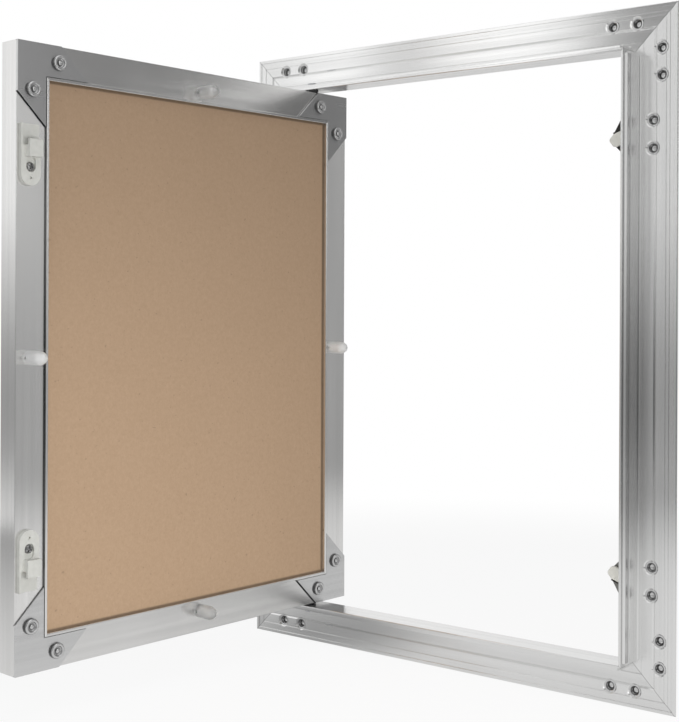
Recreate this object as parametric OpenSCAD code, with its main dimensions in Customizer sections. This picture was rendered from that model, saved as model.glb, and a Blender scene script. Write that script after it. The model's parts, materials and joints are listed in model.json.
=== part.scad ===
// Access panel: a mitred aluminium frame with a board-filled door that swings on two pivot pins.
// X is the width, Z is up and the room is towards -Y. The origin is the middle of the opening, on the
// front face of the frame's flange. The door is drawn open, as it rests.

/* [Opening and door] */
// Clear width between the frame's lips
open_w = 302; // [240:1:420]
// Clear height between the frame's lips
open_h = 402; // [390:1:600]
// Gap between the door and the lips all round
door_gap = 2; // [1.6:0.1:3]
// Angle between the closed door and the door as drawn
open_angle = 95; // [60:1:105]
// Distance from the door's hinge edge to the pivot axis
pivot_inset = 30; // [28:0.5:34]
// Distance from the door's outer face to the pivot axis
pivot_depth = 9; // [8:0.5:10]

/* [Frame section] */
// Width of the flange from its outer edge to the shoulder
flange_w = 27; // [26.5:0.5:32]
// Thickness of the flange
flange_t = 2; // [1.6:0.1:2.6]
// Thickness of the lip
lip_t = 1.8; // [1.4:0.1:2.4]
// How far the lip stands in front of the flange
lip_h = 18; // [17:0.5:22]
// How far the shoulder stands out from the lip
shoulder_w = 3.2; // [2.8:0.1:4]
// How far the shoulder stands in front of the flange
shoulder_h = 12; // [11.5:0.5:13]
// How far the shoulder stops short of the opening's corners
shoulder_cut = 1.3; // [0.5:0.1:3]
// Width of the bead along the flange's outer edge
bead_w = 2.4; // [1.6:0.1:2.6]
// Width of the sunken band beside the bead
band_w = 3; // [2:0.1:3.2]
// Depth of the sunken band
band_d = 0.5; // [0.3:0.1:0.7]
// Width of the rib beside the sunken band
rib_w = 2; // [1.2:0.1:2.2]
// Width of the fine grooves
groove_w = 0.6; // [0.4:0.1:0.8]
// Depth of the fine grooves
groove_d = 0.4; // [0.3:0.1:0.6]
// Middle of the V-shaped screw line, from the outer edge
vee_at = 15.4; // [15:0.1:16.5]
// Width of the V-shaped screw line
vee_w = 2; // [1.4:0.1:2.4]
// Depth of the V-shaped screw line
vee_d = 0.7; // [0.4:0.1:0.9]
// Outer side of the inner fine groove, from the outer edge
inner_groove_at = 23.6; // [23:0.1:24.2]
// Width of the slot in the back of the shoulder
back_slot_w = 2; // [1.4:0.1:2.2]
// Depth of the slot in the back of the shoulder
back_slot_d = 7; // [5:0.5:7]
// Distance from the end of the shoulder to the end of its slot
back_slot_end = 6; // [4:0.5:12]

/* [Edges] */
// Rounding of the frame's and the door's long edges
edge_r = 0.5; // [0.3:0.05:0.6]
// Rounding of the frame's small edges beside its grooves
fine_r = 0.2; // [0.1:0.05:0.25]
// Rounding in the corner between flange and shoulder
root_r = 1; // [0.5:0.1:1.5]

/* [Frame corners] */
// Thickness of the corner cleats
cleat_t = 2; // [1.5:0.1:3]
// Width of a cleat's leg
cleat_w = 14; // [13:0.5:15]
// Length of a cleat's leg
cleat_len = 60; // [56:1:64]
// Distance from the outer edge to the cleats
cleat_inset = 3; // [2:0.5:4]
// Distance from the outer edge to the corner eyelets
eyelet_at = 11.5; // [11:0.1:12]
// Distance from the frame's corner to the first eyelet
eyelet_first = 29; // [27:0.5:32]
// Distance between the two eyelets of a leg
eyelet_pitch = 18; // [14:0.5:20]

/* [Eyelets] */
// Radius of the eyelet's rim
eyelet_rim_r = 4.2; // [4.1:0.1:4.5]
// Radius of the eyelet's shank
eyelet_shank_r = 3.2; // [3:0.05:3.4]
// Radius of the eyelet's blind bore at its seat
eyelet_bore_r = 2.6; // [2.4:0.1:2.7]
// Radius of the floor of the eyelet's bore
eyelet_floor_r = 1.9; // [1.6:0.1:2.2]
// Radius of the bore's flared mouth
eyelet_mouth_r = 3.8; // [3.5:0.1:4]
// Radius of the dimple round an eyelet, at the flange's face
eyelet_dimple_r = 5.2; // [4.9:0.1:5.5]
// Depth of the dimple
eyelet_dimple_d = 0.8; // [0.5:0.1:0.9]
// Depth of the rim's seat below the flange's face
eyelet_seat_d = 1; // [0.8:0.1:1.2]
// Thickness of the rim
eyelet_rim_t = 0.65; // [0.4:0.05:0.7]
// Thickness of the set head at the back
eyelet_head_t = 0.8; // [0.6:0.1:1.2]
// Gap round eyelets, rivets and screws in their holes
fit_gap = 0.05; // [0.03:0.01:0.1]

/* [Hinge] */
// Radius of the hinge pins
pin_r = 2.5; // [2:0.1:2.6]
// Radial clearance of the pins in the frame and in the bushes
pin_gap = 0.05; // [0.03:0.01:0.1]
// Radius of the pin's head
pin_head_r = 3.6; // [3.2:0.1:4]
// Thickness of the pin's head
pin_head_t = 1.2; // [0.8:0.1:1.6]
// How far the pin reaches into the door
pin_reach = 6; // [4:0.5:7]
// Width of the hinge bracket
bracket_w = 16; // [12:0.5:20]
// Thickness of the hinge bracket
bracket_t = 1.6; // [1.2:0.1:2]
// Distance from the pivot to the middle of the hinge bracket
bracket_off = 2; // [0:0.5:3]
// Gap between the hinge bracket and the corner cleat
bracket_gap = 0.5; // [0.3:0.1:2]
// How far the end of the bracket's tab lies behind the shoulder's front
tab_sink = 0.6; // [0.4:0.1:1]
// Gap at each end of the bracket's tab in its slot
slot_gap = 0.5; // [0.2:0.1:0.8]
// Wall of the bush
bush_wall = 1.4; // [1:0.1:1.8]
// Length of the bush inside the door
bush_len = 8; // [7:0.5:10]
// Thickness of the bush's flange
bush_flange_t = 1.5; // [1:0.1:1.5]
// Radius of the bush's flange
bush_flange_r = 5; // [4.6:0.1:6]

/* [Door section] */
// Depth of the door from its outer face to its back face
door_d = 16.5; // [15:0.5:17]
// Thickness of the door's side walls and back flange
door_t = 1.5; // [1.2:0.1:2]
// Width of the door's back flange
stile_w = 23; // [22.5:0.5:28]
// Height of the raised rim along the back flange
rim_h = 1.75; // [1.5:0.05:2.5]
// Width of the raised rim
rim_w = 2; // [1.4:0.1:2.4]
// Gap between the board and the side walls
board_gap = 0.2; // [0.1:0.1:0.6]

/* [Door corners] */
// Thickness of the corner plates
plate_t = 1.5; // [1:0.1:2]
// Length of a corner plate along the door's outer edge
plate_len = 32; // [30:0.5:40]
// Gap between a corner plate and the rim
plate_gap = 0.3; // [0.2:0.1:0.6]
// Distance from the door's edge to the nearer row of rivets
rivet_near = 11; // [9:0.5:12]
// Distance from the door's edge to the farther rivet
rivet_far = 30; // [26:0.5:31]
// Radius of the rivet's head
rivet_head_r = 5.1; // [4.6:0.05:5.3]
// Height of the rivet's head
rivet_head_h = 2; // [1.4:0.1:2.6]
// Radius of the dish in the rivet's head
rivet_dish_r = 3.1; // [2.6:0.1:3.4]
// Depth of the dish in the rivet's head
rivet_dish_d = 1; // [0.5:0.1:1.2]
// Radius of the rivet's shank
rivet_shank_r = 2.4; // [1.6:0.1:2.6]
// Radius of the set end of the rivet
rivet_tail_r = 3.2; // [2.8:0.1:3.6]
// Length of the set end of the rivet
rivet_tail_h = 1.5; // [1:0.1:2.5]

/* [Strikes] */
// Distance from the door's end to the end of the strike that faces it
strike_from_end = 52; // [50:0.5:53]
// Length of the strike
strike_len = 39; // [37:0.5:42]
// Width of the strike
strike_w = 14; // [13:0.5:16]
// Distance from the door's free edge to the strike
strike_inset = 1.9; // [1.4:0.1:2.2]
// Thickness of the strike's base
strike_t = 3; // [2.6:0.1:3.2]
// Distance from the strike's end to its block
block_at = 10; // [9.5:0.1:11]
// Length of the strike's block
block_len = 11; // [10:0.5:12]
// Width of the strike's block
block_w = 9.6; // [9.2:0.1:10.4]
// Distance from the strike's free side to its block
block_inset = 2.8; // [2.6:0.1:3.2]
// Height of the strike's block above the door's back face
block_h = 8.2; // [8:0.1:9]
// Height of the catch's underside above the door's back face
catch_h = 6.3; // [6.2:0.1:6.6]
// How far the catch overhangs the foot of the block
catch_over = 3.6; // [3:0.1:4]
// Thickness of the strike's base in the recess before its block
recess_t = 1; // [0.8:0.1:1.4]
// Thickness of the wall beside the recess
recess_wall = 1.2; // [1:0.1:1.5]
// Distance from the strike's round end to its screw
screw_at = 12; // [11:0.5:13]
// Radius of the screw's head
screw_head_r = 2.9; // [2.6:0.1:3.2]
// Height of the screw's head
screw_head_h = 1.5; // [1.2:0.1:1.6]
// Radius of the screw's thread
screw_r = 1.6; // [1.4:0.1:2]
// Length of the screw below its head
screw_len = 13; // [8:0.5:14]
// Radius of the small hole in the strike
strike_hole_r = 0.9; // [0.6:0.1:1.1]
// Distance from the strike's round end to its small hole
strike_hole_at = 5; // [4:0.5:6]
// Depth of the screw's pocket in the strike
pocket_d = 1.7; // [1.4:0.1:1.9]
// Length of the screw's pocket
pocket_len = 10; // [9:0.5:11]

/* [Stop pegs] */
// Radius of a peg
peg_r = 4.6; // [4:0.1:4.8]
// Height of a peg above the door's back face
peg_h = 17.5; // [14:0.5:19]
// Length of a peg's rounded nose
peg_nose = 6.5; // [5:0.5:8]
// Radius of a peg's shank in the back flange
peg_shank_r = 2; // [1.5:0.1:2.4]
// Radius of the small hole in a peg's side
peg_hole_r = 0.9; // [0.6:0.1:1.1]
// Height of the small hole above the door's back face
peg_hole_h = 2.6; // [2:0.1:4]
// Distance from the door's free edge to its peg
peg_free_at = 10; // [8:0.5:14]
// Distance from the door's hinge edge to its peg
peg_hinge_at = 16; // [12:0.5:16]
// Distance from the door's top and bottom edges to their pegs
peg_rail_at = 15; // [12:0.5:16]

/* [Latches] */
// Distance from the opening's end to the middle of a latch's eyelets
latch_from_end = 53.5; // [51:0.5:55]
// Distance between the two eyelets of a latch
latch_pitch = 18.5; // [16:0.5:20]
// Distance from the frame's outer edge to the latch's eyelets
latch_eyelet_at = 17.5; // [17:0.1:18]
// Thickness of the latch bracket
latch_t = 1.2; // [1:0.1:1.5]
// Width of the latch bracket behind the flange
latch_foot_w = 17; // [14:0.5:19]
// Distance from the lip to the corner of the guard that is nearest to the opening's end
guard_top_at = 10; // [9:0.5:11]
// Distance from the lip to the corner of the guard that is nearest to the opening's middle
guard_low_at = 10.8; // [10:0.2:12]
// How far that corner lies from the lever's pin, along the jamb
guard_drop = 13.7; // [13.2:0.1:14]
// Length of the latch bracket along the jamb
latch_len = 27; // [26:0.5:30]
// Distance from the lip's inner face to the lever's pin, away from the opening
latch_pin_at = 1.5; // [1:0.1:2]
// Distance of the lever's pin from the middle of the eyelets
latch_pin_rise = 4; // [3:0.1:4.5]
// Radius of the lever's pin
latch_pin_r = 1.5; // [1.2:0.1:1.8]
// Radius of the head of the lever's pin
latch_pin_head_r = 2.7; // [2.2:0.1:3]
// Thickness of the head of the lever's pin
latch_pin_head_t = 1.2; // [0.8:0.1:1.5]
// Radius of the lever's boss
boss_r = 4; // [3.6:0.1:4.2]
// How far the lever's nose reaches into the opening
nose_reach = 18.7; // [18:0.1:19.5]
// Drop of the nose's tip below the pin
nose_drop = 5.7; // [5:0.1:6.5]
// Length of the nose's slopes, across the jamb
nose_len = 3.5; // [3:0.1:4]
// How far from its corner the rounding of the nose starts
nose_bend = 1.8; // [1:0.1:2.2]
// How far from its corner the rounding of the claw starts
claw_bend = 0.8; // [0.4:0.1:1.2]
// Drop of the nose's upper corner below the pin
nose_top_drop = 1.7; // [1:0.1:2]
// Drop of the claw's tip below the pin
claw_drop = 10.2; // [9.8:0.1:10.4]
// Width of the claw
claw_w = 2.8; // [2.4:0.1:3.4]
// Thickness of the lever
hook_t = 2; // [1.8:0.1:2.2]
// Gap between the lever and the pieces before and behind it
hook_gap = 0.4; // [0.35:0.05:0.5]
// Thickness of the leaf spring
spring_t = 0.6; // [0.4:0.1:0.8]

/* [Hidden] */
$fn = 64;

aluminium = [0.80, 0.80, 0.80];
steel = [0.62, 0.63, 0.65];
black_steel = [0.10, 0.10, 0.11];
black_plastic = [0.07, 0.07, 0.07];
white_plastic = [0.90, 0.90, 0.87];
clear_plastic = [0.82, 0.82, 0.81];
board_brown = [0.70, 0.57, 0.45];

// A cutter reaches this far past the face it opens
over = 1;
// Straight pieces in a round end of an outline, and in a rounded edge
arc_steps = 24;
edge_steps = 3;

// Frame: distances from the outer edge, then outer size and inner height of the lip
lip_at = flange_w + shoulder_w;
rail_d = lip_at + lip_t;
frame_w = open_w + 2 * rail_d;
frame_h = open_h + 2 * rail_d;
outer_groove_at = bead_w + band_w + rib_w;

// Door, closed: its size and the Y of its back face and its outer face
door_w = open_w - 2 * door_gap;
door_h = open_h - 2 * door_gap;
front_y = -lip_h;
back_y = front_y + door_d;
pivot_x = -door_w / 2 + pivot_inset;
pivot_y = front_y + pivot_depth;

// Frame corners
eyelet_hole_r = eyelet_shank_r + fit_gap;
eyelet_sink_r = eyelet_rim_r + fit_gap;

// Hinge: heights of the shoulder's outer face, the slot in it, the tab and the door's edge above the middle
shoulder_z = frame_h / 2 - flange_w;
slot_z = frame_h / 2 - lip_at;
tab_z = slot_z + (back_slot_w - bracket_t) / 2;
bracket_top_z = frame_h / 2 - cleat_inset - cleat_w - bracket_gap;
door_top_z = door_h / 2;
pin_top_z = shoulder_z + pin_head_t;
pin_hole_r = pin_r + pin_gap;
bush_r = pin_hole_r + bush_wall;
bracket_x = pivot_x + bracket_off - bracket_w / 2;
tab_front_y = tab_sink - shoulder_h;

// Door corners
rim_at = stile_w - rim_w;
plate_w = rim_at - plate_gap;
rivet_hole_r = rivet_shank_r + fit_gap;
tail_pocket_r = rivet_tail_r + board_gap;

// Strikes: places along the door's height, for the upper one
strike_end = door_h / 2 - strike_from_end;
strike_foot = strike_end - strike_len;
strike_mid = strike_inset + strike_w / 2;
screw_z = strike_foot + screw_at;
pocket_r = screw_head_r + slot_gap;
block_top = strike_end - block_at;

// Latches: Y of each layer and places in the XZ plane, for the upper one
hook_y = flange_t + hook_gap;
guard_y = hook_y + hook_t + hook_gap;
guard_back_y = guard_y + latch_t;
latch_pin_back_y = guard_back_y + latch_pin_head_t;
latch_eyelet_x = frame_w / 2 - latch_eyelet_at;
lip_x = open_w / 2;
latch_at = open_h / 2 - latch_from_end;
latch_pin_p = [lip_x + latch_pin_at, latch_at + latch_pin_rise];
nose_p = [lip_x - nose_reach, latch_pin_p[1] - nose_drop];
nose_top_p = [nose_p[0] + nose_len, latch_pin_p[1] - nose_top_drop];
claw_p = [nose_p[0] + nose_len, latch_pin_p[1] - claw_drop];
claw_back_p = claw_p + [claw_w, 0];
nose_bend_p = [nose_p[0], nose_p[1], nose_bend];
claw_bend_p = [claw_p[0], claw_p[1], claw_bend];
riser_x = latch_pin_p[0] + boss_r + hook_gap;
latch_foot = latch_at - latch_len / 2;
latch_head = latch_foot + latch_len;
guard_low = latch_pin_p[1] - guard_drop;

// The direction, from either middle, in which one outer tangent of two circles touches them
function touch_angle(a, ra, b, rb, side) =
    let (d = b - a) atan2(d[1], d[0]) + side * acos((ra - rb) / norm(d));

function polar(r, angle) = r * [cos(angle), sin(angle)];

// Where one outer tangent touches each of the two circles
function tangent(a, ra, b, rb, side) =
    let (t = touch_angle(a, ra, b, rb, side)) [a + polar(ra, t), b + polar(rb, t)];

// The outline of a belt round two circles
function belt(a, ra, b, rb) =
    let (t0 = touch_angle(a, ra, b, rb, -1), t1 = touch_angle(a, ra, b, rb, 1))
    concat(
        [for (i = [0:arc_steps]) a + polar(ra, t1 + (360 + t0 - t1) * i / arc_steps)],
        [for (i = [0:arc_steps]) b + polar(rb, t0 + (t1 - t0) * i / arc_steps)]
    );

// The point at distance r from p, on the way to q
function toward(p, q, r) = p + r * (q - p) / norm(q - p);

// A curve from a to b that bends at p
function bend(a, p, b) =
    [for (i = [0:edge_steps]) let (t = i / edge_steps, u = 1 - t) u * u * a + 2 * t * u * p + t * t * b];

// An outline of points [y, z] or [y, z, r], with each corner that has an r rounded from that far on
function rounded(points) =
    let (n = len(points), flat = [for (p = points) [p[0], p[1]]])
    [for (i = [0:n - 1])
        let (p = flat[i], r = points[i][2], a = flat[(i + n - 1) % n], b = flat[(i + 1) % n])
        each (is_undef(r) ? [p] : bend(toward(p, a, r), p, toward(p, b, r)))];

// Draws a shape of the XZ plane as a plate from y0 to y1
module plate_y(y0, y1) {
    translate([0, y1, 0]) rotate([90, 0, 0]) linear_extrude(y1 - y0) children();
}

// A straight cylinder along Y at (x, z), from y0 to y1
module rod_y(x, z, r, y0, y1) {
    translate([x, y1, z]) rotate([90, 0, 0]) cylinder(r = r, h = y1 - y0);
}

// A bar with a section in Y and -Z below its outer edge, mitred at both ends
module mitred_bar(len, section, depth, y0, y1) {
    intersection() {
        translate([-len / 2, 0, 0]) rotate([90, 0, 90]) linear_extrude(len) polygon(section);
        plate_y(y0 - over, y1 + over)
            polygon([[-len / 2, 0], [len / 2, 0], [len / 2 - depth, -depth], [depth - len / 2, -depth]]);
    }
}

// Puts a bar that was drawn below the line Z = 0 on one side of a rectangle w by h
module on_top(h) { translate([0, 0, h / 2]) children(); }
module on_right(w) { translate([w / 2, 0, 0]) rotate([0, 90, 0]) children(); }
module on_left(w) { mirror([1, 0, 0]) on_right(w) children(); }

// Places a piece at each of the signs that pick a corner
module at_corner(sx, sz) { mirror([sx < 0 ? 1 : 0, 0, 0]) mirror([0, 0, sz < 0 ? 1 : 0]) children(); }

// Draws the lower one of a pair as the mirror image of the upper one
module lower() { mirror([0, 0, 1]) children(); }

// Turns the closed door to the place where it rests
module opened() {
    translate([pivot_x, pivot_y, 0]) rotate([0, 0, -open_angle]) translate([-pivot_x, -pivot_y, 0])
        children();
}

function frame_section() = rounded([
    [flange_t, 0, edge_r], [0, 0, edge_r], [0, -bead_w, fine_r], [band_d, -bead_w],
    [band_d, -bead_w - band_w], [0, -bead_w - band_w, fine_r],
    [0, -outer_groove_at, fine_r], [groove_d, -outer_groove_at],
    [groove_d, -outer_groove_at - groove_w], [0, -outer_groove_at - groove_w, fine_r],
    [0, -vee_at + vee_w / 2], [vee_d, -vee_at], [0, -vee_at - vee_w / 2],
    [0, -inner_groove_at, fine_r], [groove_d, -inner_groove_at],
    [groove_d, -inner_groove_at - groove_w], [0, -inner_groove_at - groove_w, fine_r],
    [0, -flange_w, root_r], [-shoulder_h, -flange_w, edge_r],
    [-shoulder_h, -flange_w - shoulder_w / 2 + vee_d], [-shoulder_h + vee_d, -flange_w - shoulder_w / 2],
    [-shoulder_h, -flange_w - shoulder_w / 2 - vee_d], [-shoulder_h, -lip_at, fine_r],
    [-lip_h, -lip_at, edge_r], [-lip_h, -rail_d, edge_r], [flange_t, -rail_d, edge_r]
]);

// A frame bar, its shoulder cut off square before the corners and slotted along the back
module frame_bar(len) {
    shoulder_end = len / 2 - rail_d - shoulder_cut;
    slot_len = 2 * (shoulder_end - back_slot_end);
    difference() {
        mitred_bar(len, frame_section(), rail_d, -lip_h, flange_t);
        for (s = [0, 1]) mirror([s, 0, 0]) translate([shoulder_end, -shoulder_h - over, -lip_at])
            cube([rail_d, shoulder_h + over, shoulder_w + root_r]);
        translate([-slot_len / 2, flange_t - back_slot_d, -lip_at])
            cube([slot_len, back_slot_d + over, back_slot_w]);
    }
}

// The places of one frame bar's corner eyelets, drawn on the top rail
module at_bar_eyelets(len) {
    for (s = [-1, 1], i = [0, 1])
        translate([s * (len / 2 - eyelet_first - i * eyelet_pitch), 0, -eyelet_at]) children();
}

// A dimpled and stepped hole that sinks an eyelet's rim below the flange's face
module eyelet_hole() {
    rod_y(0, 0, eyelet_hole_r, -over, flange_t + over);
    rod_y(0, 0, eyelet_sink_r, -over, eyelet_seat_d);
    flare = (eyelet_dimple_r - eyelet_sink_r) * over / eyelet_dimple_d;
    translate([0, -over, 0]) rotate([-90, 0, 0])
        cylinder(r1 = eyelet_dimple_r + flare, r2 = eyelet_sink_r, h = eyelet_dimple_d + over);
}

// A hollow rivet that grips the flange and a plate of thickness grip behind it
module eyelet(grip) {
    back = flange_t + grip;
    front = eyelet_seat_d - eyelet_rim_t;
    rotate([-90, 0, 0]) rotate_extrude() polygon([
        [0, back - eyelet_rim_t], [eyelet_floor_r, back - eyelet_rim_t], [eyelet_bore_r, eyelet_seat_d],
        [eyelet_mouth_r, front], [eyelet_rim_r, front], [eyelet_rim_r, eyelet_seat_d],
        [eyelet_shank_r, eyelet_seat_d], [eyelet_shank_r, back], [eyelet_rim_r, back],
        [eyelet_rim_r, back + eyelet_head_t], [0, back + eyelet_head_t]
    ]);
}

module latch_eyelet_places() {
    for (s = [-1, 1]) translate([latch_eyelet_x, 0, latch_at + s * latch_pitch / 2]) children();
}

// A frame rail that carries a pivot: the pin's hole and the slot of the hinge bracket's tab
module pivot_rail() {
    difference() {
        on_top(frame_h) frame_bar(frame_w);
        on_top(frame_h) at_bar_eyelets(frame_w) eyelet_hole();
        translate([pivot_x, pivot_y, 0]) cylinder(r = pin_hole_r, h = frame_h);
        translate([bracket_x - slot_gap, -shoulder_h - over, slot_z])
            cube([bracket_w + 2 * slot_gap, shoulder_h + flange_t + 2 * over, back_slot_w]);
    }
}

module frame_top_rail() { color(aluminium) pivot_rail(); }

module frame_bottom_rail() { color(aluminium) lower() pivot_rail(); }

module frame_hinge_jamb() {
    color(aluminium) on_left(frame_w) difference() {
        frame_bar(frame_h);
        at_bar_eyelets(frame_h) eyelet_hole();
    }
}

module frame_latch_jamb() {
    color(aluminium) difference() {
        on_right(frame_w) frame_bar(frame_h);
        on_right(frame_w) at_bar_eyelets(frame_h) eyelet_hole();
        latch_eyelet_places() eyelet_hole();
        lower() latch_eyelet_places() eyelet_hole();
    }
}

// The places of the four eyelets of one corner, drawn at the top right
module at_corner_eyelets() {
    for (i = [0, 1]) {
        along = eyelet_first + i * eyelet_pitch;
        translate([frame_w / 2 - along, 0, frame_h / 2 - eyelet_at]) children();
        translate([frame_w / 2 - eyelet_at, 0, frame_h / 2 - along]) children();
    }
}

// An angle plate behind the flange, drawn at the top right
module cleat() {
    color(steel) difference() {
        plate_y(flange_t, flange_t + cleat_t)
            translate([frame_w / 2 - cleat_inset, frame_h / 2 - cleat_inset])
                polygon([
                    [0, 0], [0, -cleat_len], [-cleat_w, -cleat_len], [-cleat_w, -cleat_w],
                    [-cleat_len, -cleat_w], [-cleat_len, 0]
                ]);
        at_corner_eyelets() rod_y(0, 0, eyelet_hole_r, flange_t - over, flange_t + cleat_t + over);
    }
}

module cleat_top_hinge() { at_corner(-1, 1) cleat(); }
module cleat_top_latch() { at_corner(1, 1) cleat(); }
module cleat_bottom_hinge() { at_corner(-1, -1) cleat(); }
module cleat_bottom_latch() { at_corner(1, -1) cleat(); }

module corner_eyelets() {
    color(steel) for (sx = [-1, 1], sz = [-1, 1]) at_corner(sx, sz) at_corner_eyelets() eyelet(cleat_t);
}

module latch_eyelets() {
    color(steel) {
        latch_eyelet_places() eyelet(latch_t);
        lower() latch_eyelet_places() eyelet(latch_t);
    }
}

// A bent plate: its back lies behind the flange and its tab fills the slot in the shoulder and holds the pin
module hinge_bracket() {
    color(steel) difference() {
        union() {
            translate([bracket_x, tab_front_y, tab_z])
                cube([bracket_w, flange_t + bracket_t - tab_front_y, bracket_t]);
            translate([bracket_x, flange_t, tab_z])
                cube([bracket_w, bracket_t, bracket_top_z - tab_z]);
        }
        translate([pivot_x, pivot_y, tab_z - over]) cylinder(r = pin_hole_r, h = bracket_t + 2 * over);
    }
}

module hinge_bracket_top() { hinge_bracket(); }
module hinge_bracket_bottom() { lower() hinge_bracket(); }

module hinge_pin() {
    color(steel) translate([pivot_x, pivot_y, 0]) {
        translate([0, 0, door_top_z - pin_reach]) cylinder(r = pin_r, h = pin_top_z - door_top_z + pin_reach);
        translate([0, 0, shoulder_z]) cylinder(r = pin_head_r, h = pin_head_t);
    }
}

module hinge_pin_top() { hinge_pin(); }
module hinge_pin_bottom() { lower() hinge_pin(); }

// A bent plate: its foot lies behind the flange, its riser steps back and its guard backs the lever
module latch_bracket() {
    color(black_steel) difference() {
        union() {
            translate([riser_x, flange_t, latch_foot]) cube([latch_foot_w, latch_t, latch_len]);
            translate([riser_x, flange_t, latch_foot])
                cube([latch_t, guard_back_y - flange_t, latch_len]);
            plate_y(guard_y, guard_back_y) polygon(rounded([
                [riser_x + latch_t, guard_low], [riser_x + latch_t, latch_head],
                [lip_x - guard_top_at, latch_head], nose_bend_p, [lip_x - guard_low_at, guard_low]
            ]));
        }
        latch_eyelet_places() rod_y(0, 0, eyelet_hole_r, flange_t - over, flange_t + latch_t + over);
        rod_y(latch_pin_p[0], latch_pin_p[1], latch_pin_r + pin_gap, guard_y - over, guard_back_y + over);
    }
}

module latch_bracket_upper() { latch_bracket(); }
module latch_bracket_lower() { lower() latch_bracket(); }

module latch_pin() {
    color(steel) {
        rod_y(latch_pin_p[0], latch_pin_p[1], latch_pin_r, flange_t + hook_gap / 2, latch_pin_back_y);
        rod_y(latch_pin_p[0], latch_pin_p[1], latch_pin_head_r, guard_back_y, latch_pin_back_y);
    }
}

module latch_pin_upper() { latch_pin(); }
module latch_pin_lower() { lower() latch_pin(); }

// A lever on its pin: a round boss, a pointed nose and a claw below it
module latch_hook() {
    low = touch_angle(latch_pin_p, boss_r, claw_back_p, 0, 1);
    high = touch_angle(latch_pin_p, boss_r, nose_top_p, 0, -1) + 360;
    boss = [for (i = [0:arc_steps]) latch_pin_p + polar(boss_r, low + (high - low) * i / arc_steps)];
    color(white_plastic) difference() {
        plate_y(hook_y, hook_y + hook_t)
            polygon(rounded(concat(boss, [nose_top_p, nose_bend_p, claw_bend_p, claw_back_p])));
        rod_y(latch_pin_p[0], latch_pin_p[1], latch_pin_r + pin_gap, hook_y - over, hook_y + hook_t + over);
    }
}

module latch_hook_upper() { latch_hook(); }
module latch_hook_lower() { lower() latch_hook(); }

// A leaf that starts on the riser and lies along the lever's upper side
module latch_spring() {
    near = tangent(latch_pin_p, boss_r + hook_gap, nose_top_p, hook_gap, -1);
    far = tangent(latch_pin_p, boss_r + hook_gap + spring_t, nose_top_p, hook_gap + spring_t, -1);
    color(black_steel) plate_y(hook_y, hook_y + hook_t) polygon([
        [riser_x, latch_head], far[0], far[1], near[1], near[0], [riser_x, latch_head - 2 * spring_t]
    ]);
}

module latch_spring_upper() { latch_spring(); }
module latch_spring_lower() { lower() latch_spring(); }

function door_section() = rounded([
    [back_y, 0, edge_r], [back_y, -rim_at], [back_y + rim_h, -rim_at, edge_r],
    [back_y + rim_h, -stile_w, edge_r], [back_y - door_t, -stile_w], [back_y - door_t, -door_t],
    [front_y, -door_t, edge_r], [front_y, 0, edge_r]
]);

module door_bar(len) { mitred_bar(len, door_section(), stile_w, front_y, back_y + rim_h); }

// The places of the two rivets of one corner, drawn at the top right of the door
module at_plate_rivets() {
    for (p = [[rivet_near, rivet_far], [rivet_far, rivet_near]])
        translate([door_w / 2 - p[0], back_y, door_h / 2 - p[1]]) children();
}

module all_door_rivets() {
    for (sx = [-1, 1], sz = [-1, 1]) at_corner(sx, sz) at_plate_rivets() children();
}

// The places of the pegs on the back flange
module at_peg_free() { translate([door_w / 2 - peg_free_at, back_y, 0]) children(); }
module at_peg_hinge() { translate([peg_hinge_at - door_w / 2, back_y, 0]) children(); }
module at_peg_top() { translate([0, back_y, door_h / 2 - peg_rail_at]) children(); }
module at_peg_bottom() { lower() at_peg_top() children(); }

module at_strike_screw() { translate([door_w / 2 - strike_mid, back_y, screw_z]) children(); }

// What passes through the door's back flange: rivets, pegs and screws
module flange_holes() {
    all_door_rivets() rod_y(0, 0, rivet_hole_r, -stile_w, over);
    at_peg_free() peg_hole();
    at_peg_hinge() peg_hole();
    at_peg_top() peg_hole();
    at_peg_bottom() peg_hole();
    at_strike_screw() screw_hole();
    lower() at_strike_screw() screw_hole();
}

module peg_hole() { rod_y(0, 0, peg_shank_r + fit_gap, -door_t - over, over); }

module screw_hole() { rod_y(0, 0, screw_r + fit_gap, -door_t - over, over); }

// A door rail that carries a bush
module bush_rail() {
    difference() {
        on_top(door_h) door_bar(door_w);
        flange_holes();
        translate([pivot_x, pivot_y, 0]) cylinder(r = bush_r + fit_gap, h = door_h);
    }
}

module door_top_rail() { color(aluminium) opened() bush_rail(); }

module door_bottom_rail() { color(aluminium) opened() lower() bush_rail(); }

module door_hinge_stile() {
    color(aluminium) opened() difference() {
        on_left(door_w) door_bar(door_h);
        flange_holes();
    }
}

module door_latch_stile() {
    color(aluminium) opened() difference() {
        on_right(door_w) door_bar(door_h);
        flange_holes();
    }
}

// The board lies against the back flange, with room for the rivets' ends, the screws and the bushes
module door_board() {
    side = 2 * (door_t + board_gap);
    color(board_brown) opened() difference() {
        translate([side / 2 - door_w / 2, front_y, side / 2 - door_h / 2])
            cube([door_w - side, door_d - door_t, door_h - side]);
        all_door_rivets() rod_y(0, 0, tail_pocket_r, -door_t - rivet_tail_h - board_gap, over);
        for (s = [0, 1]) mirror([0, 0, s]) {
            at_strike_screw() rod_y(0, 0, screw_r + fit_gap, -screw_len - over, over);
            translate([pivot_x, pivot_y, door_top_z - bush_len - board_gap])
                cylinder(r = bush_r + board_gap, h = bush_len + over);
        }
    }
}

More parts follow.
